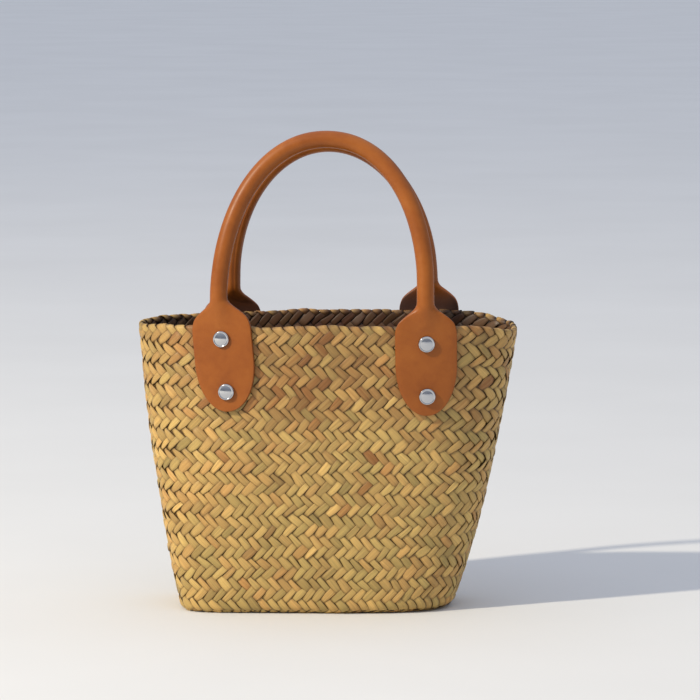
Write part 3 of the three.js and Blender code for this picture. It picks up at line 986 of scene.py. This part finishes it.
@dataclass
class Handle:
    """A rolled leather handle with a flat tab at each end, in one piece.

    The rows of TAB give the tab from its lower end to the neck: along, as a share of the tab's
    length, half, of half its width, ridge, of how proud the roll stands, and how far the flat
    leather has closed into the roll.
    """

    form: BasketForm
    side: Side
    rise: float
    skew: float
    squareness: float
    necks: dict[End, Neck]
    tab_length: float = 75 * MM
    tab_width: float = 40 * MM
    leather: float = 2.6 * MM
    roll: float = 11.2 * MM
    proud: float = 2.4 * MM
    lean: float = 19 * MM
    lean_curve: float = 1.5
    gap: float = 0.3 * MM
    edge_round: float = 0.45
    seam_depth: float = 0.5 * MM

    TAB = np.array([
        # along, half, ridge, rolled
        (0.447, 1.000, 0.00, 0.00),
        (0.700, 1.000, 0.00, 0.00),
        (0.735, 0.990, 0.08, 0.00),
        (0.775, 0.955, 0.26, 0.02),
        (0.816, 0.875, 0.40, 0.06),
        (0.855, 0.725, 0.48, 0.16),
        (0.890, 0.555, 0.46, 0.34),
        (0.925, 0.385, 0.32, 0.64),
        (0.960, 0.298, 0.12, 0.90),
        (1.000, 0.280, 0.00, 1.00),
    ])
    TIP_SHARE = 0.447
    TIP_SQUARENESS = 2.06
    TIP_SECTIONS = 20
    TAB_SECTIONS = 50
    ARCH_SECTIONS = 110
    ARCH_POINTS = 16
    STATIONS = (0, 0.35, 0.7, 0.9)
    SEAT_SHARES = (0, 0.25, 0.5, 0.75, 1)
    RIDGE_SHARPNESS = 3
    TOP_POINTS, TOP_CROWDING = 15, 1.35
    BOTTOM_POINTS = 9
    CORNER_TURNS = (60, 30, 0)
    FIRST_ANGLE = 160
    FIRST_TIP_TURN = 0.05
    SEAM_ROLLED = (0.6, 1.0)
    FLESH_SINE = -0.6

    def seat(self, end: End) -> TabSeat:
        """Lay a tab on the wall.

        Args:
            end: Which end of the bag it is nearer.

        Returns:
            Its seat.
        """
        neck = self.necks[end].place
        foot = neck - end.value * self.tab_length * math.sin(math.radians(self.necks[end].tilt))
        drop = self.tab_length - self.necks[end].rise
        low, high = self.form.height - drop, self.form.height
        rim = foot + (neck - foot) * drop / self.tab_length
        origin = self.form.wall_point(self.side, foot, low)
        up = (self.form.wall_point(self.side, rim, high) - origin).normalized()
        middle = ((foot + rim) / 2, (low + high) / 2)
        level = self.form.wall_point(self.side, middle[0] + self.tab_width / 2, middle[1])
        level -= self.form.wall_point(self.side, middle[0] - self.tab_width / 2, middle[1])
        out = level.cross(up).normalized() * -self.side.value
        standing = []
        for share in self.SEAT_SHARES:
            for across in self.SEAT_SHARES:
                height = low + (high - low) * share
                place = foot + (rim - foot) * share + (across - 0.5) * self.tab_width
                standing.append((self.form.wall_point(self.side, place, height) - origin).dot(out))
        return TabSeat(np.array(origin), np.array(up), np.array(out), max(standing) + self.gap)

    def middle_line(self) -> SmoothLine:
        """Run the middle line through one tab, over the arch and through the other."""
        self.seats = {end: self.seat(end) for end in End}
        stations = [share * self.tab_length for share in self.STATIONS]
        left = [self.tab_point(End.LEFT, along) for along in stations]
        right = [self.tab_point(End.RIGHT, along) for along in reversed(stations)]
        necks = [self.tab_point(end, self.tab_length) for end in End]
        arch = []
        for i in range(self.ARCH_POINTS + 1):
            angle = math.pi * i / self.ARCH_POINTS
            across = -math.copysign(abs(math.cos(angle)) ** (2 / self.squareness), math.cos(angle))
            rise = max(math.sin(angle), 0) ** (2 / self.squareness)
            place = necks[0] + (necks[1] - necks[0]) * (across + 1) / 2
            place += np.array([
                self.skew * rise,
                -self.side.value * self.lean * rise**self.lean_curve,
                self.rise * rise,
            ])
            arch.append(place)
        return SmoothLine([*left, *arch, *right])

    def tab_point(self, end: End, along: float) -> np.ndarray:
        """Give a point of a tab's middle line."""
        seat = self.seats[end]
        return seat.origin + seat.up * along + seat.out * (seat.lift + self.leather / 2)

    def drape(self, seat: TabSeat, places: np.ndarray) -> np.ndarray:
        """Give how far places of a tab's back move towards the wall so that it lies along it."""
        depths = []
        for x, _, z in places:
            wall = self.form.wall_point(self.side, x, min(z, self.form.height))
            depths.append((np.array(wall) - seat.origin) @ seat.out + self.gap - seat.lift)
        return np.array(depths)

    def section_shares(self) -> tuple[np.ndarray, ...]:
        """Give the section's points as shares, flat and round, with how near each is to an edge.

        Returns:
            Place across the flat, corner turn's cosine and sine, and the round section's angle.
        """
        top = np.linspace(-1, 1, self.TOP_POINTS)
        top = np.sign(top) * np.abs(top) ** self.TOP_CROWDING
        bottom = np.linspace(1, -1, self.BOTTOM_POINTS)
        down = np.radians(self.CORNER_TURNS)
        up = down[::-1]
        corner = np.ones(2 * len(down))
        level, low = np.zeros(self.TOP_POINTS), np.zeros(self.BOTTOM_POINTS)
        flat = np.concatenate([top, corner, bottom, -corner])
        cosine = np.concatenate([level, np.cos(down), np.cos(up), low, -np.cos(down), -np.cos(up)])
        sine = np.concatenate([level + 1, np.sin(down), -np.sin(up), low - 1, -np.sin(down), np.sin(up)])
        angle = np.radians(self.FIRST_ANGLE - 360 / len(flat) * np.arange(len(flat)))
        return flat, cosine, sine, angle

    def section(
        self, line: SmoothLine, along: float, half: float, ridge: float, rolled: float
    ) -> np.ndarray:
        """Give one ring about the middle line, flat in a tab and round in the roll.

        Args:
            line: The middle line.
            along: How far along it.
            half: Half the width.
            ridge: Height of the ridge, as a share of proud.
            rolled: How far the leather has closed.

        Returns:
            The ring's points.
        """
        share = min(max(along / line.length, 0), 1)
        middle, tangent = line.at(along), line.tangent(along)
        seat = self.seats[End.LEFT if share < 0.5 else End.RIGHT]
        out = unit(self.seats[End.LEFT].out * (1 - share) + self.seats[End.RIGHT].out * share)
        out = out * rolled**4 + seat.out * (1 - rolled**4)
        out = unit(out - tangent * (out @ tangent))
        wide = np.cross(tangent, out)
        tip = min(along, line.length - along)
        thick = self.leather / 2 + (self.roll / 2 - self.leather / 2) * rolled
        corner = thick * self.edge_round
        thick = thick - corner * (1 - math.sqrt(1 - (1 - min(tip / corner, 1)) ** 2))
        back = rolled * (self.roll / 2 - self.leather / 2 - self.proud)
        flat, cosine, sine, angle = self.section_shares()
        corner = min(corner, half)
        x_flat = flat * (half - corner) + cosine * corner
        y_flat = np.sign(sine) * (thick - corner) + sine * corner
        closed = 1 - (1 - rolled) ** 3
        x = x_flat * (1 - closed) + half * np.cos(angle) * closed
        y = y_flat * (1 - closed) + thick * np.sin(angle) * closed
        hump = ridge * self.proud * np.exp(-self.RIDGE_SHARPNESS * (x / self.roll) ** 2)
        y = y - back + np.where(sine > 0, hump, 0)
        seam = np.isclose(np.degrees(angle), -90)
        y = y + seam * self.seam_depth * smooth_step(*self.SEAM_ROLLED, np.array(rolled))
        places = middle + x[:, None] * wide
        if rolled < 1:
            y = y + (1 - rolled) * self.drape(seat, places)
        return places + y[:, None] * out

    def rows(self, line: SmoothLine) -> list[tuple[float, float, float, float]]:
        """List the sections from one lower end to the other: along, half, ridge and rolled."""
        turns = np.linspace(self.FIRST_TIP_TURN, math.pi / 2, self.TIP_SECTIONS)[:-1]
        power = 2 / self.TIP_SQUARENESS
        tip = [(self.TIP_SHARE * (1 - math.cos(t) ** power), math.sin(t) ** power, 0, 0) for t in turns]
        shares = np.linspace(self.TIP_SHARE, 1, self.TAB_SECTIONS)
        columns = [smooth_column(self.TAB[:, 0], self.TAB[:, c], shares) for c in (1, 2, 3)]
        neck = list(zip(shares, *columns))
        tab = [
            (along * self.tab_length, half * self.tab_width / 2, max(ridge, 0), min(max(rolled, 0), 1))
            for along, half, ridge, rolled in [*tip, *neck]
        ]
        arch = np.linspace(self.tab_length, line.length - self.tab_length, self.ARCH_SECTIONS)[1:-1]
        roll = [(along, self.roll / 2, 0, 1) for along in arch]
        other = [(line.length - along, *rest) for along, *rest in reversed(tab)]
        return [*tab, *roll, *other]

    def build(self, finish: bpy.types.Material) -> bpy.types.Object:
        """Loft the handle from its sections.

        Args:
            finish: The leather.

        Returns:
            The handle, with the attributes edge, seam and flesh, the last partly painted shade.
        """
        line = self.middle_line()
        rows = self.rows(line)
        rings = [self.section(line, *row) for row in rows]
        points = np.array([np.vstack([ring, ring[:1]]) for ring in rings])
        _, cosine, sine, angle = (np.append(part, part[0]) for part in self.section_shares())
        rolled = np.array([row[3] for row in rows])[:, None]
        work = lofted(points, {
            "edge": np.abs(cosine) * (1 - rolled),
            "seam": np.isclose(np.degrees(angle), -90) * rolled,
            # The tabs' undersides: the leather's own darker back, deepened by painted shade.
            "flesh_shade": (sine < self.FLESH_SINE) * (1 - rolled) ** 2,
        })
        bmesh.ops.remove_doubles(work, verts=work.verts, dist=0.001 * MM)
        bmesh.ops.holes_fill(work, edges=[e for e in work.edges if e.is_boundary], sides=0)
        bmesh.ops.recalc_face_normals(work, faces=work.faces)
        return bmesh_object(f"{self.side.name.lower()}_handle_leather", work, finish)


@dataclass
class Rivet:
    """A double-capped rivet: a rimmed dome on the leather, a post, and a plain cap in the basket.

    The rows of CAP run from the middle of the cap to its rim: radius, as a share of half the
    cap's diameter, and height, of the cap's height.
    """

    handle: Handle
    end: End
    name: str
    along: float
    cap: float = 10.8 * MM
    cap_height: float = 2.2 * MM
    inner_cap: float = 9 * MM
    inner_cap_height: float = 1.4 * MM
    post: float = 3.6 * MM
    hem: float = 3.6 * MM
    wall: float = 2 * MM
    hem_height: float = 20 * MM

    CAP = (
        (0.0, 0.97), (0.2, 0.95), (0.4, 0.895), (0.58, 0.82), (0.71, 0.75), (0.79, 0.68), (0.83, 0.76),
        (0.88, 0.80), (0.935, 0.74), (0.98, 0.56), (1.0, 0.32), (0.985, 0.06), (0.96, 0.0),
    )
    INNER_CAP = ((0.94, 0.0), (1.0, 0.25), (0.93, 0.62), (0.72, 0.9), (0.35, 1.0), (0.0, 1.0))
    STEPS = 56

    def build(self, finish: bpy.types.Material) -> bpy.types.Object:
        """Spin the rivet's outline and seat it through the tab and the wall.

        Args:
            finish: The polished metal.

        Returns:
            The rivet.
        """
        handle = self.handle
        seat = handle.seats[self.end]
        at = seat.origin + seat.up * self.along + seat.out * seat.lift
        at = at + seat.out * handle.drape(seat, at[None, :])[0]
        front = handle.leather + handle.gap
        back = -self.stack(at, seat.out) - handle.gap
        outline = [(r * self.cap / 2, front + h * self.cap_height) for r, h in self.CAP]
        outline += [(self.post / 2, front), (self.post / 2, back)]
        outline += [(r * self.inner_cap / 2, back - h * self.inner_cap_height) for r, h in self.INNER_CAP]
        work = bmesh.new()
        verts = [work.verts.new((radius, 0, height)) for radius, height in outline]
        for a, b in zip(verts, verts[1:]):
            work.edges.new((a, b))
        bmesh.ops.spin(
            work, geom=work.verts[:] + work.edges[:], cent=(0, 0, 0), axis=(0, 0, 1),
            angle=2 * math.pi, steps=self.STEPS, use_merge=True,
        )
        bmesh.ops.remove_doubles(work, verts=work.verts, dist=0.002 * MM)
        bmesh.ops.recalc_face_normals(work, faces=work.faces)
        turn = Vector((0, 0, 1)).rotation_difference(Vector(seat.out)).to_matrix().to_4x4()
        bmesh.ops.transform(work, matrix=turn, verts=work.verts)
        bmesh.ops.translate(work, vec=Vector(at), verts=work.verts)
        return bmesh_object(self.name, work, finish)

    def stack(self, at: np.ndarray, out: np.ndarray) -> float:
        """Give the depth from the tab's back to the wall's inner face, under the inner cap."""
        form, depths = self.handle.form, []
        for across in (-0.5, 0, 0.5):
            for rise in (-0.5, 0, 0.5):
                x, z = at[0] + across * self.inner_cap, at[2] + rise * self.inner_cap
                inset = self.hem if z > form.height - self.hem_height else self.wall
                inner = np.array(form.wall_point(self.handle.side, x, z, inset))
                depths.append((at - inner) @ out)
        return max(depths)


class Shader:
    """A material's node tree, with its nodes added and linked from left to right."""

    NOISE_ROUGHNESS = 0.55

    def __init__(self, name: str) -> None:
        """Start a material with a bare surface shader."""
        self.material = bpy.data.materials.new(name)
        self.material.use_nodes = True
        self.tree = self.material.node_tree
        self.surface = self.tree.nodes["Principled BSDF"]

    def add(
        self, kind: str, inputs: dict[str | int, object] | None = None, **settings: object
    ) -> bpy.types.Node:
        """Add a node.

        Args:
            kind: The node's type, without its ShaderNode prefix.
            inputs: A value or an output socket for each named or numbered input.
            settings: The node's own settings.

        Returns:
            The node.
        """
        node = self.tree.nodes.new(f"ShaderNode{kind}")
        for key, value in settings.items():
            setattr(node, key, value)
        for key, value in (inputs or {}).items():
            self.feed(node.inputs[key], value)
        return node

    def feed(self, socket: bpy.types.NodeSocket, value: object) -> None:
        """Link an output to a socket, or set the socket's value."""
        if isinstance(value, bpy.types.NodeSocket):
            self.tree.links.new(value, socket)
        else:
            socket.default_value = value

    def dress(self, **inputs: object) -> None:
        """Set the surface shader's sockets, named with _ for a space."""
        for key, value in inputs.items():
            self.feed(self.surface.inputs[key.replace("_", " ")], value)

    def attribute(self, name: str) -> bpy.types.NodeSocket:
        """Read a number that the mesh carries."""
        return self.add("Attribute", attribute_name=name).outputs["Fac"]

    def math(self, operation: str, a: object, b: object) -> bpy.types.NodeSocket:
        """Do one step of arithmetic."""
        return self.add("Math", {0: a, 1: b}, operation=operation).outputs[0]

    def spread(
        self, value: object, low: float, high: float, to_low: float, to_high: float
    ) -> bpy.types.NodeSocket:
        """Map a range of numbers to another."""
        inputs = {"Value": value, "From Min": low, "From Max": high, "To Min": to_low, "To Max": to_high}
        return self.add("MapRange", inputs).outputs["Result"]

    def mix(self, share: object, a: object, b: object, blend: str = "MIX") -> bpy.types.NodeSocket:
        """Mix two colours."""
        node = self.add("Mix", data_type="RGBA", blend_type=blend)
        for name, value in (("Factor_Float", share), ("A_Color", a), ("B_Color", b)):
            socket = next(s for s in node.inputs if s.identifier == name)
            self.feed(socket, value)
        return next(s for s in node.outputs if s.identifier == "Result_Color")

    def ramp(self, share: object, stops: tuple[tuple[float, Colour], ...]) -> bpy.types.NodeSocket:
        """Turn a number into a colour between stops."""
        node = self.add("ValToRGB", {"Fac": share})
        elements = node.color_ramp.elements
        while len(elements) < len(stops):
            elements.new(0.5)
        for element, (place, colour) in zip(elements, stops):
            element.position = place
            element.color = (*colour, 1)
        return node.outputs["Color"]

    def noise(self, vector: object, scale: float, detail: float) -> bpy.types.NodeSocket:
        """Add soft noise."""
        inputs = {"Vector": vector, "Scale": scale, "Detail": detail, "Roughness": self.NOISE_ROUGHNESS}
        return self.add("TexNoise", inputs).outputs["Fac"]

    def bump(
        self, height: object, distance: float, strength: float, normal: object = None
    ) -> bpy.types.NodeSocket:
        """Raise the surface by a height."""
        inputs = {"Height": height, "Distance": distance, "Strength": strength}
        if normal is not None:
            inputs["Normal"] = normal
        return self.add("Bump", inputs).outputs["Normal"]


NOISE_SPAN = (0.3, 0.7)


@dataclass(frozen=True)
class StrawFinish:
    """Dried straw: each strand its own shade from olive to russet, with fine fibres along it."""

    olive: Colour = (0.370, 0.262, 0.082)
    green_straw: Colour = (0.470, 0.322, 0.100)
    golden: Colour = (0.540, 0.348, 0.108)
    tan: Colour = (0.525, 0.308, 0.095)
    rose_tan: Colour = (0.465, 0.243, 0.072)
    russet: Colour = (0.375, 0.158, 0.042)
    # Colour of the painted shade at the strands' edges, in pits and where they dive under.
    gap: SolidColour = (0.075, 0.036, 0.012, 1)
    # Multiplier of the painted shade on the basket's inner faces.
    inner: SolidColour = (0.21, 0.165, 0.20, 1)
    fibre_scale: tuple[float, float, float] = (2600, 38, 31)
    streak_scale: tuple[float, float, float] = (700, 22, 17)
    bright_range: tuple[float, float] = (0.61, 1.38)
    fibre_range: tuple[float, float] = (0.82, 1.18)
    roughness: tuple[float, float] = (0.44, 0.64)
    specular: float = 0.42
    painted_shade_power: float = 1.3
    painted_shade_strength: float = 0.97
    fibre_depth: float = 0.12 * MM

    def material(self) -> bpy.types.Material:
        """Make the straw."""
        shader = Shader("straw")
        grain = shader.add("Attribute", attribute_name="grain").outputs["Vector"]
        fibre, streak = (
            shader.noise(
                shader.add("VectorMath", {0: grain, 1: scale}, operation="MULTIPLY").outputs[0], 1.0, detail
            )
            for scale, detail in ((self.fibre_scale, 2.0), (self.streak_scale, 3.0))
        )
        streak_tone = shader.spread(streak, *NOISE_SPAN, -0.10, 0.10)
        tone = shader.math("ADD", shader.attribute("tone"), streak_tone)
        colour = shader.ramp(tone, (
            (0.00, self.olive), (0.24, self.green_straw), (0.46, self.golden),
            (0.66, self.tan), (0.84, self.rose_tan), (1.00, self.russet),
        ))
        bright = shader.spread(shader.attribute("bright"), -2.5, 2.0, *self.bright_range)
        fibre_light = shader.spread(fibre, *NOISE_SPAN, *self.fibre_range)
        light = shader.math("MULTIPLY", bright, fibre_light)
        colour = shader.mix(1.0, colour, light, "MULTIPLY")
        # Painted shade: the straw darkens towards the gap colour by its shade attribute.
        shade = shader.math("POWER", shader.attribute("shade"), self.painted_shade_power)
        colour = shader.mix(shader.math("MULTIPLY", shade, self.painted_shade_strength), colour, self.gap)
        # Painted shade on the inner faces of the wall, the hem and the mat.
        inside_shaded = shader.mix(1.0, colour, self.inner, "MULTIPLY")
        colour = shader.mix(shader.attribute("inside"), colour, inside_shaded)
        folds = shader.spread(streak, 0.35, 0.65, -0.9, 0.9)
        crease = shader.math("MULTIPLY", shader.attribute("crease"), folds)
        shader.dress(
            Base_Color=colour,
            Roughness=shader.spread(streak, *NOISE_SPAN, *self.roughness),
            Normal=shader.bump(shader.math("ADD", fibre, crease), self.fibre_depth, 0.55),
            Specular_IOR_Level=self.specular,
        )
        return shader.material


@dataclass(frozen=True)
class LeatherFinish:
    """Smooth cognac leather with a satin face, fine grain and darker rubbed edges."""

    face: Colour = (0.315, 0.087, 0.011)
    light: Colour = (0.355, 0.105, 0.014)
    dark: Colour = (0.268, 0.070, 0.009)
    edge: SolidColour = (0.210, 0.056, 0.010, 1)
    # Near-black of the tabs' undersides: the leather's darker back with painted shade.
    flesh_shade: SolidColour = (0.050, 0.020, 0.012, 1)
    cloud_scale: float = 38
    mottle_scale: float = 260
    grain_scale: float = 900
    pore_scale: float = 1500
    pore_depth: float = 0.05 * MM
    grain_depth: float = 0.08 * MM
    edge_wear: float = 0.55
    seam_wear: float = 0.8
    roughness: tuple[float, float] = (0.36, 0.46)
    specular: float = 0.30

    def material(self) -> bpy.types.Material:
        """Make the leather."""
        shader = Shader("leather")
        place = shader.add("TexCoord").outputs["Object"]
        cloud = shader.noise(place, self.cloud_scale, 4.0)
        mottle = shader.noise(place, self.mottle_scale, 3.0)
        pores = shader.add("TexVoronoi", {"Vector": place, "Scale": self.pore_scale}, feature="SMOOTH_F1")
        grain = shader.noise(place, self.grain_scale, 2.0)
        blend = shader.math("ADD", cloud, shader.spread(mottle, *NOISE_SPAN, -0.06, 0.06))
        colour = shader.ramp(blend, ((0.30, self.dark), (0.50, self.face), (0.72, self.light)))
        for name, wear in (("edge", self.edge_wear), ("seam", self.seam_wear)):
            worn = shader.math("MULTIPLY", shader.attribute(name), wear)
            colour = shader.mix(worn, colour, self.edge)
        fine = shader.bump(pores.outputs["Distance"], self.pore_depth, 0.35)
        shader.dress(
            # Painted shade, over the leather's darker back, on the tabs' undersides.
            Base_Color=shader.mix(shader.attribute("flesh_shade"), colour, self.flesh_shade),
            Roughness=shader.spread(mottle, *NOISE_SPAN, *self.roughness),
            Normal=shader.bump(grain, self.grain_depth, 0.25, fine),
            Specular_IOR_Level=self.specular,
        )
        return shader.material


@dataclass(frozen=True)
class ChromeFinish:
    """Polished chrome with the finest of scratches."""

    colour: SolidColour = (0.52, 0.53, 0.55, 1)
    smear_scale: float = 420
    scratch_scale: float = 2400
    scratch_depth: float = 0.01 * MM
    roughness: tuple[float, float] = (0.07, 0.17)

    def material(self) -> bpy.types.Material:
        """Make the chrome."""
        shader = Shader("metal")
        place = shader.add("TexCoord").outputs["Object"]
        smear = shader.noise(place, self.smear_scale, 3.0)
        scratch = shader.noise(place, self.scratch_scale, 2.0)
        shader.dress(
            Base_Color=self.colour,
            Metallic=1.0,
            Roughness=shader.spread(smear, *NOISE_SPAN, *self.roughness),
            Normal=shader.bump(scratch, self.scratch_depth, 0.12),
        )
        return shader.material


@dataclass
class Studio:
    """A pale floor, a soft sky, one warm key light and the camera at the photo's angle."""

    azimuth: float = 1.6
    elevation: float = 6.6
    distance: float = 2.5
    target: tuple[float, float, float] = (14.65 * MM, 0.0, 168.5 * MM)
    focal_pixels: float = 3800
    frame_pixels: float = 700
    sensor: float = 36
    floor_radius: float = 45
    key_turn: float = 33
    key_lift: float = 37
    key_distance: float = 4.2
    key_size: float = 0.14
    key_watts: float = 154
    key_colour: Colour = (1.0, 0.905, 0.72)
    key_aim: float = 150 * MM
    sky_low: float = 0.28
    sky_high: float = 0.92
    sky_reach: float = 0.85
    sky_colour: SolidColour = (0.80, 0.86, 1.0, 1)
    floor_dark: Colour = (0.72, 0.715, 0.70)
    floor_light: Colour = (0.75, 0.745, 0.73)
    clip_end: float = 100

    def floor(self) -> None:
        """Lay the floor."""
        shader = Shader("floor")
        place = shader.add("TexCoord").outputs["Object"]
        cloud = shader.noise(place, 3.0, 3.0)
        colour = shader.ramp(cloud, tuple(zip(NOISE_SPAN, (self.floor_dark, self.floor_light))))
        shader.dress(Base_Color=colour, Roughness=0.9, Specular_IOR_Level=0.2)
        work = bmesh.new()
        bmesh.ops.create_circle(work, cap_ends=True, segments=96, radius=self.floor_radius)
        bmesh_object("floor", work, shader.material)

    def sky(self) -> None:
        """Light the whole room softly and evenly."""
        world = bpy.data.worlds.new("studio")
        world.use_nodes = True
        tree = world.node_tree
        background = tree.nodes["Background"]
        direction = tree.nodes.new("ShaderNodeTexCoord")
        axes = tree.nodes.new("ShaderNodeSeparateXYZ")
        fade = tree.nodes.new("ShaderNodeMapRange")
        spans = {"From Min": 0, "From Max": self.sky_reach, "To Min": self.sky_low, "To Max": self.sky_high}
        for name, value in spans.items():
            fade.inputs[name].default_value = value
        tree.links.new(direction.outputs["Generated"], axes.inputs[0])
        tree.links.new(axes.outputs["Z"], fade.inputs["Value"])
        tree.links.new(fade.outputs["Result"], background.inputs["Strength"])
        background.inputs["Color"].default_value = self.sky_colour
        bpy.context.scene.world = world

    def key(self) -> None:
        """Hang a square, warm key light at the front left, facing the bag."""
        turn, lift = math.radians(self.key_turn), math.radians(self.key_lift)
        away = Vector((-math.cos(turn) * math.cos(lift), -math.sin(turn) * math.cos(lift), math.sin(lift)))
        place = away * self.key_distance
        light = bpy.data.lights.new("key", "AREA")
        light.size, light.energy, light.color = self.key_size, self.key_watts, self.key_colour
        lamp = bpy.data.objects.new("key", light)
        lamp.location = place
        lamp.rotation_euler = (Vector((0, 0, self.key_aim)) - place).to_track_quat("-Z", "Y").to_euler()
        bpy.context.scene.collection.objects.link(lamp)

    def camera(self) -> None:
        """Stand the camera where the photo was taken from."""
        data = bpy.data.cameras.new("camera")
        data.sensor_width = self.sensor
        data.lens = self.focal_pixels / self.frame_pixels * self.sensor
        data.clip_end = self.clip_end
        camera = bpy.data.objects.new("camera", data)
        turn, lift = math.radians(self.azimuth), math.radians(self.elevation)
        away = Vector((math.sin(turn) * math.cos(lift), -math.cos(turn) * math.cos(lift), math.sin(lift)))
        camera.location = Vector(self.target) + away * self.distance
        camera.rotation_euler = (-away).to_track_quat("-Z", "Y").to_euler()
        bpy.context.scene.collection.objects.link(camera)
        bpy.context.scene.camera = camera

    def build(self) -> None:
        """Set up the whole studio."""
        self.camera()
        self.floor()
        self.sky()
        self.key()
        bpy.context.scene.view_settings.view_transform = "Standard"


RIVET_PLACES = {"lower": 13 * MM, "upper": 47.3 * MM}


def main() -> None:
    """Build the bag's pieces in order."""
    logging.basicConfig(level=logging.INFO, format="%(name)s %(message)s")
    Studio().build()
    straw, leather, metal = StrawFinish().material(), LeatherFinish().material(), ChromeFinish().material()
    form = BasketForm()
    plait = StrawPlait(PlaitSheet(form))
    for piece in [*plait.wall(straw), plait.core(straw), *plait.base(straw)]:
        settle(piece, "straw", "basket_body")
    handles = (
        Handle(form, Side.FRONT, rise=101.3 * MM, skew=3.4 * MM, squareness=2.1, necks={
            End.LEFT: Neck(-68.8 * MM, 19.4 * MM, 5.4), End.RIGHT: Neck(64.6 * MM, 17 * MM, -0.8),
        }),
        Handle(form, Side.BACK, rise=93.2 * MM, skew=-2.6 * MM, squareness=2.0, necks={
            End.LEFT: Neck(-65.5 * MM, 17.2 * MM, 0.0), End.RIGHT: Neck(66.3 * MM, 22 * MM, 0.5),
        }),
    )
    for handle in handles:
        side = handle.side.name.lower()
        settle(handle.build(leather), "leather", f"{side}_handle")
        for end in End:
            for height, along in RIVET_PLACES.items():
                node = f"rivet_{side}_{end.name.lower()}_{height}"
                settle(Rivet(handle, end, f"{node}_cap", along).build(metal), "metal", node)


if __name__ == "__main__":
    main()
